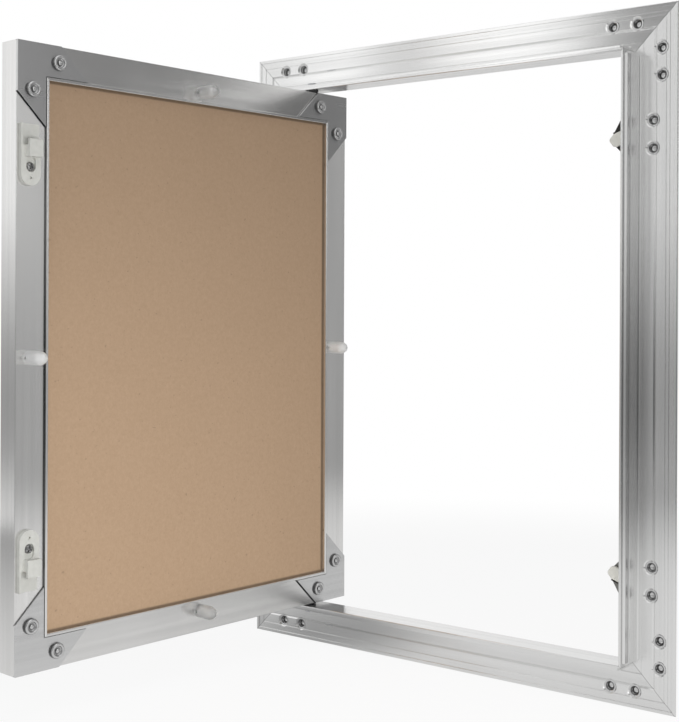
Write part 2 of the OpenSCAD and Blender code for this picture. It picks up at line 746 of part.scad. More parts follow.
// An angle plate on the door's corner, its ends cut at 45 degrees, drawn at the top right
module corner_plate() {
    long = plate_len + plate_w;
    color(aluminium) difference() {
        plate_y(back_y, back_y + plate_t) translate([door_w / 2, door_h / 2]) polygon([
            [0, 0], [0, -plate_len], [-plate_w, -long], [-plate_w, -plate_w], [-long, -plate_w], [-plate_len, 0]
        ]);
        at_plate_rivets() rod_y(0, 0, rivet_hole_r, -over, plate_t + over);
    }
}

module corner_plate_top_hinge() { opened() at_corner(-1, 1) corner_plate(); }
module corner_plate_top_latch() { opened() at_corner(1, 1) corner_plate(); }
module corner_plate_bottom_hinge() { opened() at_corner(-1, -1) corner_plate(); }
module corner_plate_bottom_latch() { opened() at_corner(1, -1) corner_plate(); }

// A rivet with a rounded, dished head, a shank through plate and flange and a set end
module door_rivet() {
    edge = rivet_head_h / 2;
    top = plate_t + rivet_head_h;
    rotate([-90, 0, 0]) rotate_extrude() polygon([
        [0, -door_t - rivet_tail_h], [rivet_tail_r, -door_t - rivet_tail_h], [rivet_tail_r, -door_t],
        [rivet_shank_r, -door_t], [rivet_shank_r, plate_t], [rivet_head_r, plate_t],
        [rivet_head_r, plate_t + edge / 2], [rivet_head_r - edge / 2, top - edge / 4],
        [rivet_head_r - edge, top], [rivet_dish_r, top], [rivet_dish_r - edge / 4, top - rivet_dish_d],
        [0, top - rivet_dish_d]
    ]);
}

module door_rivets() { color(aluminium) opened() all_door_rivets() door_rivet(); }

// A flanged sleeve that turns on the hinge pin
module hinge_bush() {
    color(black_plastic) translate([pivot_x, pivot_y, door_top_z]) difference() {
        union() {
            translate([0, 0, -bush_len]) cylinder(r = bush_r, h = bush_len + bush_flange_t);
            cylinder(r = bush_flange_r, h = bush_flange_t);
        }
        translate([0, 0, -bush_len - over]) cylinder(r = pin_hole_r, h = bush_len + bush_flange_t + 2 * over);
    }
}

module hinge_bush_top() { opened() hinge_bush(); }
module hinge_bush_bottom() { opened() lower() hinge_bush(); }

// A moulded catch: a base with one round end, a screw pocket, and a block that overhangs a recess
module strike() {
    left = door_w / 2 - strike_inset - strike_w;
    round_r = strike_w / 2;
    block_x = door_w / 2 - strike_inset - block_inset - block_w;
    color(white_plastic) difference() {
        union() {
            plate_y(back_y, back_y + strike_t) {
                translate([left, strike_foot + round_r]) square([strike_w, strike_len - round_r]);
                translate([left + round_r, strike_foot + round_r]) circle(round_r);
            }
            translate([block_x, back_y, block_top - block_len])
                cube([block_w, block_h, block_len - catch_over]);
            translate([block_x, back_y + catch_h, block_top - block_len])
                cube([block_w, block_h - catch_h, block_len]);
        }
        translate([left - over, back_y + recess_t, block_top - catch_over])
            cube([strike_w - recess_wall + over, catch_h - recess_t, block_at + catch_over + over]);
        at_strike_screw() {
            screw_hole();
            rod_y(0, 0, screw_r + fit_gap, 0, strike_t + over);
            plate_y(strike_t - pocket_d, strike_t + over)
                polygon(belt([0, 0], pocket_r, [0, pocket_len - 2 * pocket_r], pocket_r));
        }
        translate([0, 0, strike_hole_at - screw_at])
            at_strike_screw() rod_y(0, 0, strike_hole_r, strike_t - pocket_d, strike_t + over);
    }
}

module strike_upper() { opened() strike(); }
module strike_lower() { opened() lower() strike(); }

// A pan-head screw with a cross recess
module strike_screw() {
    seat = strike_t - pocket_d;
    top = seat + screw_head_h;
    slot = screw_r / 2;
    difference() {
        rotate([-90, 0, 0]) rotate_extrude() polygon([
            [0, seat - screw_len], [screw_r, seat - screw_len + screw_r], [screw_r, seat],
            [screw_head_r, seat], [screw_head_r, seat + screw_head_h / 2],
            [screw_head_r - screw_head_h / 2, top], [0, top]
        ]);
        for (a = [0, 90]) rotate([0, a, 0])
            translate([-screw_r, top - screw_head_h / 2, -slot / 2]) cube([2 * screw_r, screw_head_h, slot]);
    }
}

module strike_screws() {
    color(steel) opened() {
        at_strike_screw() strike_screw();
        lower() at_strike_screw() strike_screw();
    }
}

// A round-nosed peg with a shank in the back flange and a small hole towards the door's free edge
module stop_peg() {
    color(clear_plastic) difference() {
        rotate([-90, 0, 0]) rotate_extrude() {
            translate([0, -door_t]) square([peg_shank_r, door_t + over]);
            square([peg_r, peg_h - peg_nose]);
            translate([0, peg_h - peg_nose]) intersection() {
                scale([peg_r, peg_nose]) circle(1);
                translate([0, -over]) square([peg_r, peg_nose + over]);
            }
        }
        translate([0, peg_hole_h, 0]) rotate([0, 90, 0]) cylinder(r = peg_hole_r, h = peg_r + over);
    }
}

module stop_peg_free() { opened() at_peg_free() stop_peg(); }
module stop_peg_hinge() { opened() at_peg_hinge() stop_peg(); }
module stop_peg_top() { opened() at_peg_top() stop_peg(); }
module stop_peg_bottom() { opened() at_peg_bottom() stop_peg(); }

frame_top_rail();
frame_bottom_rail();
frame_hinge_jamb();
frame_latch_jamb();
cleat_top_hinge();
cleat_top_latch();
cleat_bottom_hinge();
cleat_bottom_latch();
corner_eyelets();
latch_eyelets();
hinge_bracket_top();
hinge_bracket_bottom();
hinge_pin_top();
hinge_pin_bottom();
latch_bracket_upper();
latch_bracket_lower();
latch_pin_upper();
latch_pin_lower();
latch_spring_upper();
latch_spring_lower();
latch_hook_upper();
latch_hook_lower();
door_top_rail();
door_bottom_rail();
door_hinge_stile();
door_latch_stile();
door_board();
corner_plate_top_hinge();
corner_plate_top_latch();
corner_plate_bottom_hinge();
corner_plate_bottom_latch();
door_rivets();
hinge_bush_top();
hinge_bush_bottom();
strike_upper();
strike_lower();
strike_screws();
stop_peg_free();
stop_peg_hinge();
stop_peg_top();
stop_peg_bottom();
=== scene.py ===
import json
import math

import bmesh
import bpy
import numpy as np
from mathutils import Matrix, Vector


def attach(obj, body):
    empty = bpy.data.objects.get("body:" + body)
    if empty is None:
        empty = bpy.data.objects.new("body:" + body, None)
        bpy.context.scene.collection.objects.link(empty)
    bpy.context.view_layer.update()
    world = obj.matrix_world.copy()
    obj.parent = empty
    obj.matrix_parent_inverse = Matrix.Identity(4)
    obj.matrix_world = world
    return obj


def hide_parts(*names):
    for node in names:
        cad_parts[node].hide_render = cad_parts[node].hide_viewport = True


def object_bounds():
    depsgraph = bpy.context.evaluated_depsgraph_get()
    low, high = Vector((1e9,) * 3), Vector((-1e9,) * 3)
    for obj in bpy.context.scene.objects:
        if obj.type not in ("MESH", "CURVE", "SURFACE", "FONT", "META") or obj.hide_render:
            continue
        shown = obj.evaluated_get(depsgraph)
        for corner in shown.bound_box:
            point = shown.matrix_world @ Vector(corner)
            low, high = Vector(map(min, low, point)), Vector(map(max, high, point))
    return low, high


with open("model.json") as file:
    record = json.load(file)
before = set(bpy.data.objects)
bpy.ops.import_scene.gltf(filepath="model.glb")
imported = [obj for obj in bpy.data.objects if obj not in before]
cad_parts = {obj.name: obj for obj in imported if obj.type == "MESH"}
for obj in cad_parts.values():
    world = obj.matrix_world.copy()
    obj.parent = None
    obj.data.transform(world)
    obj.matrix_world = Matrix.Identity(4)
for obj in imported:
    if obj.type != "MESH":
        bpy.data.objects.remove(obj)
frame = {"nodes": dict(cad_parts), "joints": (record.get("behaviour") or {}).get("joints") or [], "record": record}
solid_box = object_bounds()

# The frame: four mitred lengths of one aluminium extrusion, left with the mill finish of the press.
# Die lines run along each length and smear reflections across it, and its tone is faintly clouded.


def feed(owner, value, socket):
    """Links a source to a socket, or sets the socket to a plain value."""
    if isinstance(value, bpy.types.NodeSocket):
        owner.node_tree.links.new(value, socket)
    else:
        socket.default_value = value


def give(owner, node, **inputs):
    """Feeds a node's sockets by their names, with _ for a space."""
    for name, value in inputs.items():
        feed(owner, value, node.inputs[name.replace("_", " ")])


def add(owner, kind, settings=None, **inputs):
    """Adds a node to a material or world, sets its options and feeds its sockets."""
    made = owner.node_tree.nodes.new("ShaderNode" + kind)
    for name, value in (settings or {}).items():
        setattr(made, name, value)
    give(owner, made, **inputs)
    return made


def sums(owner, operation, *terms):
    """A Math node on sockets or numbers, and its result."""
    made = add(owner, "Math", {"operation": operation})
    for socket, term in zip(made.inputs, terms):
        feed(owner, term, socket)
    return made.outputs[0]


def new_finish(name):
    """A material with only its shader and its output, and the shader."""
    made = bpy.data.materials.new(name)
    made.use_nodes = True
    return made, made.node_tree.nodes["Principled BSDF"]


def object_place(owner, laid=None):
    """A piece's own places, or where the turn and the shift in laid bring them on the closed panel."""
    place = add(owner, "TexCoord").outputs["Object"]
    if laid:
        turn, shift = laid
        place = add(owner, "Mapping", Vector=place, Rotation=(0, 0, turn), Location=shift).outputs["Vector"]
    return place


def noise(owner, place, scale, detail, roughness=0.5):
    """Noise with so many waves to the metre, and finer layers as detail and roughness say."""
    made = add(owner, "TexNoise", Vector=place, Scale=scale, Detail=detail, Roughness=roughness)
    return made.outputs["Fac"]


def bumped(owner, height, strength, distance):
    """A surface's direction where a height roughens it."""
    return add(owner, "Bump", Height=height, Strength=strength, Distance=distance).outputs["Normal"]


def scaled(owner, colour, share):
    """A colour times a share."""
    return add(owner, "VectorMath", {"operation": "SCALE"}, Vector=colour, Scale=share).outputs["Vector"]


def fade(owner, value, start, end, low, high, kind="SMOOTHSTEP"):
    """A share that goes from low, where the value is at start, to high, where it is at end."""
    made = add(owner, "MapRange", {"interpolation_type": kind}, Value=value,
               From_Min=start, From_Max=end, To_Min=low, To_Max=high)
    return made.outputs["Result"]


def ramp(owner, factor, stops):
    """A colour ramp whose stops are (place, grey or colour)."""
    made = add(owner, "ValToRGB", Fac=factor)
    line = made.color_ramp.elements
    while len(line) < len(stops):
        line.new(1.0)
    for point, (place, colour) in zip(line, stops):
        point.position = place
        grey = not isinstance(colour, tuple)
        point.color = (colour, colour, colour, 1) if grey else (*colour, 1)
    return made.outputs["Color"]


MITRE_LEAN, FAR_OFF = 0.05, 1.0
SEAM_DARK, SEAM_HALF, SEAM_FADE, SAME_FACE = 0.22, 0.00006, 0.00026, 0.0002


def seams(*leans, depth=None, wide=1.0):
    """Dark hairlines, at mitres a joint and elsewhere a painted shadow: where height less width, from the middle,
    is a lean.

    They show on the face at the given depth, or on all faces, and are so many times as wide as a mitre's.
    """
    def shade(owner, place):
        apart = add(owner, "SeparateXYZ", Vector=place).outputs
        up, out = [sums(owner, "ABSOLUTE", apart[axis]) for axis in "ZX"]
        lean = sums(owner, "SUBTRACT", up, out)
        near = FAR_OFF
        for value in leans:
            off = sums(owner, "ABSOLUTE", sums(owner, "SUBTRACT", lean, value))
            near = sums(owner, "MINIMUM", near, off)
        if depth is not None:
            away = sums(owner, "ABSOLUTE", sums(owner, "SUBTRACT", apart["Y"], depth))
            near = sums(owner, "MAXIMUM", near, sums(owner, "SUBTRACT", away, SAME_FACE))
        return fade(owner, near, wide * SEAM_HALF, wide * SEAM_FADE, SEAM_DARK, 1.0)
    return shade


def feet(axis, places, half, dark, seam, front=FAR_OFF, behind=-FAR_OFF):
    """A seam's shade, and lines of painted shade at the foot of steps.

    The lines lie at places from the middle along an axis, are twice half wide and show between two depths.
    """
    def shade(owner, place):
        apart = add(owner, "SeparateXYZ", Vector=place).outputs
        across = sums(owner, "ABSOLUTE", apart[axis])
        shown = sums(owner, "LESS_THAN", apart["Y"], front)
        shown = sums(owner, "MULTIPLY", shown, sums(owner, "GREATER_THAN", apart["Y"], behind))
        line = 0.0
        for foot in places:
            line = sums(owner, "ADD", line, sums(owner, "COMPARE", across, foot, half))
        line = sums(owner, "MULTIPLY", line, shown)
        left = sums(owner, "SUBTRACT", 1.0, sums(owner, "MULTIPLY", line, dark))
        return sums(owner, "MULTIPLY", seam(owner, place), left)
    return shade


OPEN_HALF_W, OPEN_HALF_H = 0.151, 0.201
# Painted shade: dark lines on the frame at the feet of the lip and of the bead, where the steps shade them.
LIP_FOOT, BEAD_FOOT, STEP_HALF, STEP_PAINTED_SHADE, SHOULDER_FRONT = 0.0019, 0.0043, 0.0002, 0.22, -0.0118


def beside_lip(axis, half):
    """The frame's shade: dark joints at its mitres, and painted shade at the feet of the lip and of the bead
    beside it.
    """
    steps = (half + LIP_FOOT, half + BEAD_FOOT)
    return feet(axis, steps, STEP_HALF, STEP_PAINTED_SHADE, seams(MITRE_LEAN), front=SHOULDER_FRONT)


UPRIGHT, LEVEL = (0, 0, 1), (1, 0, 0)
DIE_LINES, DIE_BANDS, METAL_CLOUDS = (2.2, 950), (2.5, 170), 9
LINE_SHARE, BAND_SHARE, CLOUD_SHARE, LINE_BUMP = 0.3, 0.5, 0.2, (0.08, 0.0001)
TONE_LOW, TONE_HIGH = 0.34, 0.64


def drawn_out(owner, place, length, along, across):
    """A place scaled so that noise on it has so many waves to the metre along a length and across it."""
    scale = (across, across, along) if length == UPRIGHT else (along, across, across)
    return add(owner, "Mapping", Vector=place, Scale=scale).outputs["Vector"]


def drawn_metal(name, length, light, dark, rough, shade, laid=None):
    """Extruded or rolled metal: fine lines and wider bands drawn out along its length, and clouds.

    Shade is a function that gives the places left dark, and laid is the turn and the shift that bring
    the piece's places to those of the closed panel.
    """
    made, shader = new_finish(name)
    place = object_place(made, laid)
    lines = noise(made, drawn_out(made, place, length, *DIE_LINES), 1, 3, 0.6)
    bands = noise(made, drawn_out(made, place, length, *DIE_BANDS), 1, 2)
    clouds = noise(made, place, METAL_CLOUDS, 4, 0.55)
    tone = sums(made, "MULTIPLY_ADD", bands, BAND_SHARE, sums(made, "MULTIPLY", lines, LINE_SHARE))
    tone = sums(made, "MULTIPLY_ADD", clouds, CLOUD_SHARE, tone)
    grey = ramp(made, tone, [(TONE_LOW, dark), (TONE_HIGH, light)])
    gloss = ramp(made, tone, [(TONE_LOW, rough[0]), (TONE_HIGH, rough[1])])
    to_world = {"vector_type": "VECTOR", "convert_from": "OBJECT", "convert_to": "WORLD"}
    lay = add(made, "VectorTransform", to_world, Vector=length).outputs["Vector"]
    give(made, shader, Base_Color=scaled(made, grey, shade(made, place)), Roughness=gloss, Metallic=1.0,
         Normal=bumped(made, lines, *LINE_BUMP), Tangent=lay, Anisotropic=0.93, Anisotropic_Rotation=0.25)
    return made


def coat(material, *nodes):
    """Puts a material on solids that are shown as they are."""
    for name in nodes:
        slots = frame["nodes"][name].data.materials
        slots.clear()
        slots.append(material)


RAIL_GREY = ((0.89, 0.89, 0.885), (0.82, 0.82, 0.815), (0.23, 0.18))
level_metal = drawn_metal("mill_aluminium_level", LEVEL, *RAIL_GREY, beside_lip("Z", OPEN_HALF_H))
upright_metal = drawn_metal("mill_aluminium_upright", UPRIGHT, *RAIL_GREY, beside_lip("X", OPEN_HALF_W))
coat(level_metal, "frame_top_rail", "frame_bottom_rail")
coat(upright_metal, "frame_hinge_jamb", "frame_latch_jamb")

# The beads: the ridge of the same extrusion beside the lip, a little lower than it, drawn on its shoulder.
# They end square where the shoulder does, just before the opening's corners.


def show(name, content):
    """An object at the origin that shows a mesh, a lamp or a camera."""
    made = bpy.data.objects.new(name, content)
    bpy.context.scene.collection.objects.link(made)
    return made


def outward_faces(mesh):
    """Turns all faces of closed shapes outward."""
    shape = bmesh.new()
    shape.from_mesh(mesh)
    bmesh.ops.recalc_face_normals(shape, faces=shape.faces)
    shape.to_mesh(mesh)
    shape.free()


def carried(name, outline, runs):
    """An outline of (out, forward) carried along straight runs of (start, end, out), with flat ends.

    A point is a run's start or end, plus out times the outline's first value and forward times its second.
    """
    outline, runs = np.array(outline, float), np.array(runs, float)
    ends, out = runs[:, :2], runs[:, 2]
    shape = outline[:, :1] * out[:, None] + outline[:, 1:] * np.array([0, -1, 0])
    spots = (ends[:, :, None] + shape[:, None]).reshape(-1, 3)
    count = len(outline)
    near = np.arange(count)
    step = 2 * count * np.arange(len(runs))[:, None, None]
    sides = step + np.stack([near, np.roll(near, -1), np.roll(near, -1) + count, near + count], -1)
    caps = step + np.stack([near, near + count])
    mesh = bpy.data.meshes.new(name)
    mesh.from_pydata(spots.tolist(), [], sides.reshape(-1, 4).tolist() + caps.reshape(-1, count).tolist())
    outward_faces(mesh)
    mesh.shade_smooth()
    mesh.set_sharp_from_angle(angle=BEAD_CREASE)
    return show(name, mesh)


SHOULDER_CUT, BEAD_CREASE = 0.0013, math.radians(30)
BEAD_IN, BEAD_OUT, BEAD_BASE, BEAD_TOP = 1.75, 4.2, 11.9, 16.4
bead = np.array([
    (BEAD_IN, BEAD_BASE), (BEAD_OUT, BEAD_BASE), (BEAD_OUT, BEAD_TOP - 0.6),
    (BEAD_OUT - 0.06, BEAD_TOP - 0.3), (BEAD_OUT - 0.23, BEAD_TOP - 0.1), (BEAD_OUT - 0.5, BEAD_TOP),
    (BEAD_IN, BEAD_TOP)]) / 1000
rail_end, jamb_end = OPEN_HALF_W - SHOULDER_CUT, OPEN_HALF_H - SHOULDER_CUT
rail_runs = [[(-rail_end, 0, s * OPEN_HALF_H), (rail_end, 0, s * OPEN_HALF_H), (0, 0, s)] for s in (-1, 1)]
jamb_runs = [[(s * OPEN_HALF_W, 0, -jamb_end), (s * OPEN_HALF_W, 0, jamb_end), (s, 0, 0)] for s in (-1, 1)]
for name, runs, metal in (("rail_beads", rail_runs, level_metal), ("jamb_beads", jamb_runs, upright_metal)):
    piece = carried(name, bead, runs)
    piece.data.materials.append(metal)
    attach(piece, "frame")

# The corner cleats: zinc-plated steel angles behind the flange that hold each mitre together.
# They are sheared from sheet, so their edges are slightly rounded over.
BODY_OF = {name: body for body, names in frame["record"]["behaviour"]["bodies"].items() for name in names}
CORNERS = [end + side for end in ("top_", "bottom_") for side in ("hinge", "latch")]
PLATED_CLOUDS, PLATED_GRIT, PLATED_BUMP = 120, 1920, (0.06, 0.0001)
CLOUD_LOW, CLOUD_HIGH = 0.3, 0.7
SAME_CORNER, FLAT_FACE, SHARP_EDGE, SHEET_ROUND = 1e-6, math.radians(0.6), math.radians(38), 0.0003


def clouded_metal(name, light, dark, rough):
    """Plated or blackened steel: clouds in colour and gloss from one noise, a fine grain from another."""
    made, shader = new_finish(name)
    place = object_place(made)
    clouds = noise(made, place, PLATED_CLOUDS, 5, 0.6)
    speck = noise(made, place, PLATED_GRIT, 2)
    give(made, shader, Base_Color=ramp(made, clouds, [(CLOUD_LOW, dark), (CLOUD_HIGH, light)]),
         Roughness=ramp(made, clouds, [(CLOUD_LOW, rough[0]), (CLOUD_HIGH, rough[1])]),
         Normal=bumped(made, speck, *PLATED_BUMP), Metallic=1.0)
    return made


def fix(piece, material, node):
    """Gives a finished piece its material and its body, and hides the solids it stands for."""
    piece.data.materials.clear()
    piece.data.materials.append(material)
    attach(piece, BODY_OF[node])
    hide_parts(node)


def eased(node, material, width):
    """A solid's own faces, with its corners merged and its flat faces joined, and its edges rounded over."""
    shape = bmesh.new()
    shape.from_mesh(frame["nodes"][node].data)
    bmesh.ops.remove_doubles(shape, verts=shape.verts, dist=SAME_CORNER)
    bmesh.ops.dissolve_limit(shape, angle_limit=FLAT_FACE, verts=shape.verts, edges=shape.edges)
    mesh = bpy.data.meshes.new(node + "_eased")
    shape.to_mesh(mesh)
    shape.free()
    mesh.shade_smooth()
    piece = show(node + "_eased", mesh)
    rounding = piece.modifiers.new("rounded_edges", "BEVEL")
    rounding.width = width
    rounding.segments = 2
    rounding.limit_method = "ANGLE"
    rounding.angle_limit = SHARP_EDGE
    evened = piece.modifiers.new("flat_faces", "WEIGHTED_NORMAL")
    evened.weight = 100
    evened.keep_sharp = True
    fix(piece, material, node)


zinc_steel = clouded_metal("zinc_steel", (0.68, 0.69, 0.70), (0.52, 0.53, 0.55), (0.30, 0.42))
for corner in CORNERS:
    eased("cleat_" + corner, zinc_steel, SHEET_ROUND)

# The eyelets: hollow steel rivets set in dimples of the flange, four at each corner and two per latch.
# Each has a flared mouth, a blind bore whose walls get painted shade, and a set head behind the plate that it
# grips.


def turned(name, profile, places, across, axis, spin=40, cut=None):
    """A profile of (radius, height) turned about an axis at each place.

    The point at angle a on ring k is place + radius k * (across cos a + side sin a) + height k * axis,
    where side is at right angles to both. The first and the last point lie on the axis and close it.
    The attribute run says how far along the profile a point lies, from 0 to 1.
    Cut, a function of radius and angle, gives what is sunk into the rings up to the widest one.
    """
    profile, places = np.array(profile, float), np.array(places, float)
    across, axis = np.array(across, float), np.array(axis, float)
    angle = np.arange(spin) * 2 * math.pi / spin
    round_it = np.outer(np.cos(angle), across) + np.outer(np.sin(angle), np.cross(axis, across))
    radius, height = profile[1:-1, :1], np.repeat(profile[1:-1, 1:], spin, axis=1)
    start = profile[0, 1]
    if cut:
        facing = np.arange(len(radius))[:, None] <= radius.argmax()
        height = height - np.where(facing, cut(radius, angle), 0)
        start = start - cut(0, 0)
    rings = radius[:, :, None] * round_it + height[:, :, None] * axis
    points = np.vstack([start * axis, rings.reshape(-1, 3), profile[-1, 1] * axis])
    index = 1 + np.arange(len(radius) * spin).reshape(-1, spin)
    ahead = np.roll(index, -1, axis=1)
    last = np.full(spin, len(points) - 1)
    quads = np.stack([index[:-1], ahead[:-1], ahead[1:], index[1:]], -1).reshape(-1, 4)
    starts = np.stack([np.zeros(spin, int), ahead[0], index[0]], -1)
    ends = np.stack([last, index[-1], ahead[-1]], -1)
    step = len(points) * np.arange(len(places))
    spots = (places[:, None, :] + points).reshape(-1, 3)
    faces = [face for group in (starts, quads, ends)
             for face in (step[:, None, None] + group).reshape(-1, group.shape[1]).tolist()]
    mesh = bpy.data.meshes.new(name)
    mesh.from_pydata(spots.tolist(), [], faces)
    outward_faces(mesh)
    run = np.concatenate([[0], np.repeat(np.linspace(0, 1, len(radius)), spin), [1]])
    runs = np.tile(run, len(places)).astype(np.float32)
    mesh.attributes.new("run", "FLOAT", "POINT").data.foreach_set("value", runs)
    mesh.shade_smooth()
    mesh.set_sharp_from_angle(angle=TURNED_CREASE)
    return show(name, mesh)


def eyelet_profile(back):
    """From the bore's floor up its taper, over the rolled mouth, down the shank and round the set head."""
    floor, head = back + 0.1, back + 0.8
    millimetres = [
        (0, floor), (1.7, floor), (1.95, floor - 0.25), (2.1, 2.3), (2.2, 2.1), (2.5, 1.95), (2.6, 1.7),
        (2.75, 1.35), (3.0, 1.05), (3.4, 0.88), (3.8, 0.8), (4.1, 0.78), (4.2, 0.86), (4.16, 0.97),
        (3.2, 1.0), (3.2, back), (4.2, back), (4.2, back + 0.45), (3.9, back + 0.75), (3.4, head), (0, head)]
    return np.array(millimetres) / 1000


SPECKS, RING_WOBBLE, TURNED_CREASE = 900, 0.03, math.radians(50)


def ringed_metal(name, steps, rough):
    """Metal whose colour changes in steps along a turned piece's profile, its dark steps painted shade, made a
    little uneven by noise.
    """
    made, shader = new_finish(name)
    run = add(made, "Attribute", {"attribute_name": "run"}).outputs["Fac"]
    speck = noise(made, object_place(made), SPECKS, 3)
    place = sums(made, "MULTIPLY_ADD", sums(made, "SUBTRACT", speck, 0.5), RING_WOBBLE, run)
    give(made, shader, Base_Color=ramp(made, place, steps), Metallic=1.0,
         Roughness=ramp(made, speck, [(CLOUD_LOW, rough[1]), (CLOUD_HIGH, rough[0])]))
    return made


FRAME_W, FRAME_H = 0.366, 0.466
EYELET_IN, EYELET_ALONG = 0.0115, (0.029, 0.047)
corner_spots = [(sx * (FRAME_W / 2 - a), 0, sz * (FRAME_H / 2 - b)) for sx in (-1, 1) for sz in (-1, 1)
                for d in EYELET_ALONG for a, b in ((d, EYELET_IN), (EYELET_IN, d))]
LATCH_X, LATCH_Z, LATCH_HALF = 0.1655, 0.1475, 0.00925
latch_spots = [(LATCH_X, 0, s * (LATCH_Z + t * LATCH_HALF)) for s in (-1, 1) for t in (-1, 1)]
CLEAT_BACK, BRACKET_BACK = 4.0, 3.2
# The dark steps are painted shade on the walls of the bore.
eyelet_steel = ringed_metal("eyelet_steel", [
    (0.0, 0.66), (0.04, 0.62), (0.08, 0.20), (0.17, 0.20), (0.21, 0.60), (0.25, 0.60), (0.29, 0.20),
    (0.36, 0.24), (0.43, 0.55), (0.50, 0.72), (1.0, 0.66)], (0.12, 0.2))
BACKWARD = (0, 1, 0)
EYELET_SETS = (("corner_eyelets", CLEAT_BACK, corner_spots), ("latch_eyelets", BRACKET_BACK, latch_spots))
for node, back, spots in EYELET_SETS:
    fix(turned(node + "_set", eyelet_profile(back), spots, LEVEL, BACKWARD), eyelet_steel, node)

# The hinge brackets and pins: a bent plate of zinc-plated steel in a slot of the shoulder at each end.
# A headed pin of the same steel passes through the plate and carries the door.
for end in ("top", "bottom"):
    eased("hinge_bracket_" + end, zinc_steel, SHEET_ROUND)
coat(zinc_steel, "hinge_pin_top", "hinge_pin_bottom")

# The snap latches: a bent steel bracket with a guard, riveted behind the jamb, black above and grey below, the
# grey a painted reflection of the floor.
# In it a white moulded lever turns on a plated pin, with a black leaf spring lying along it.
MOULD_CLOUDS, MOULD_GRIT, MOULD_BUMP, MOULD_MATT = 260, 3640, (0.08, 0.0001), 0.06
BRACKET_ROUND, SPRING_ROUND, LEVER_ROUND = 0.0002, 0.0001, 0.0003


def moulded(name, light, dark, rough, **more):
    """Injection-moulded plastic: a faint cloud in its colour and a fine eroded texture."""
    made, shader = new_finish(name)
    place = object_place(made)
    clouds = noise(made, place, MOULD_CLOUDS, 3)
    grit = noise(made, place, MOULD_GRIT, 2)
    give(made, shader, Base_Color=ramp(made, clouds, [(CLOUD_LOW, dark), (CLOUD_HIGH, light)]),
         Roughness=ramp(made, clouds, [(CLOUD_LOW, rough + MOULD_MATT), (CLOUD_HIGH, rough)]),
         Normal=bumped(made, grit, *MOULD_BUMP), **more)
    return made


black_steel = clouded_metal("black_steel", (0.075, 0.073, 0.068), (0.045, 0.043, 0.040), (0.36, 0.48))
# Painted light: the lower bracket's steel is the black steel painted lighter, as a painted reflection of the
# floor.
lit_black_steel = clouded_metal("lit_black_steel", (0.30, 0.30, 0.285), (0.20, 0.20, 0.19), (0.36, 0.48))
white_plastic = moulded("white_plastic", (0.74, 0.74, 0.69), (0.68, 0.68, 0.635), 0.42)
for level, bracket_steel in (("upper", black_steel), ("lower", lit_black_steel)):
    eased("latch_bracket_" + level, bracket_steel, BRACKET_ROUND)
    eased("latch_spring_" + level, black_steel, SPRING_ROUND)
    eased("latch_hook_" + level, white_plastic, LEVER_ROUND)
coat(zinc_steel, "latch_pin_upper", "latch_pin_lower")

# The door: four mitred lengths of a lighter extrusion, an angle with a raised rim, round the board.
# It rests open, so its lengths lie turned about the hinge, and closed places are turned with it.
hinge = next(joint for joint in frame["joints"] if joint["name"] == "door_hinge")
PIVOT = np.array(hinge["pos_m"])
OPEN = math.radians(hinge["range_deg"][1])
ACROSS = np.array([math.cos(OPEN), -math.sin(OPEN), 0])
INWARD = np.array([math.sin(OPEN), math.cos(OPEN), 0])
RISE = np.array([0, 0, 1.0])
LAID = (OPEN, (PIVOT[0] - PIVOT @ ACROSS, PIVOT[1] - PIVOT @ INWARD, 0))


def on_door(places):
    """Turns places on the closed door, in millimetres, about the hinge to where the open door rests."""
    x, y, z = np.array(places, float).T / 1000
    return PIVOT + np.outer(x - PIVOT[0], ACROSS) + np.outer(y - PIVOT[1], INWARD) + np.outer(z, RISE)


DOOR_BACK = -1.5
BACK_FACE = DOOR_BACK / 1000
# Painted shadows: dark lines on the door's rails and stiles beside the corner plates' ends, and painted shade
# along the rim's foot.
PLATE_END, PLATE_SEAM = 0.0323, 2.4
RIM_FOOT, RIM_LINE_HALF, RIM_PAINTED_SHADE, UNDER_FACE = 0.1282, 0.0004, 0.6, 0.0001
plate_leans = (MITRE_LEAN - PLATE_END, MITRE_LEAN, MITRE_LEAN + PLATE_END)
plate_end_painted_shadows = seams(*plate_leans, depth=BACK_FACE, wide=PLATE_SEAM)
rim_and_plate_painted_shade = feet("X", (RIM_FOOT,), RIM_LINE_HALF, RIM_PAINTED_SHADE, plate_end_painted_shadows, behind=BACK_FACE - UNDER_FACE)
DOOR_ROUGH = (0.24, 0.19)
RAIL_TONES = ((0.87, 0.865, 0.855), (0.79, 0.785, 0.775))
STILE_TONES = ((0.92, 0.915, 0.905), (0.84, 0.835, 0.825))
door_across = drawn_metal("door_aluminium_across", tuple(ACROSS), *RAIL_TONES, DOOR_ROUGH, plate_end_painted_shadows, LAID)
door_upright = drawn_metal("door_aluminium_upright", UPRIGHT, *STILE_TONES, DOOR_ROUGH, rim_and_plate_painted_shade, LAID)
coat(door_across, "door_top_rail", "door_bottom_rail")
coat(door_upright, "door_hinge_stile", "door_latch_stile")

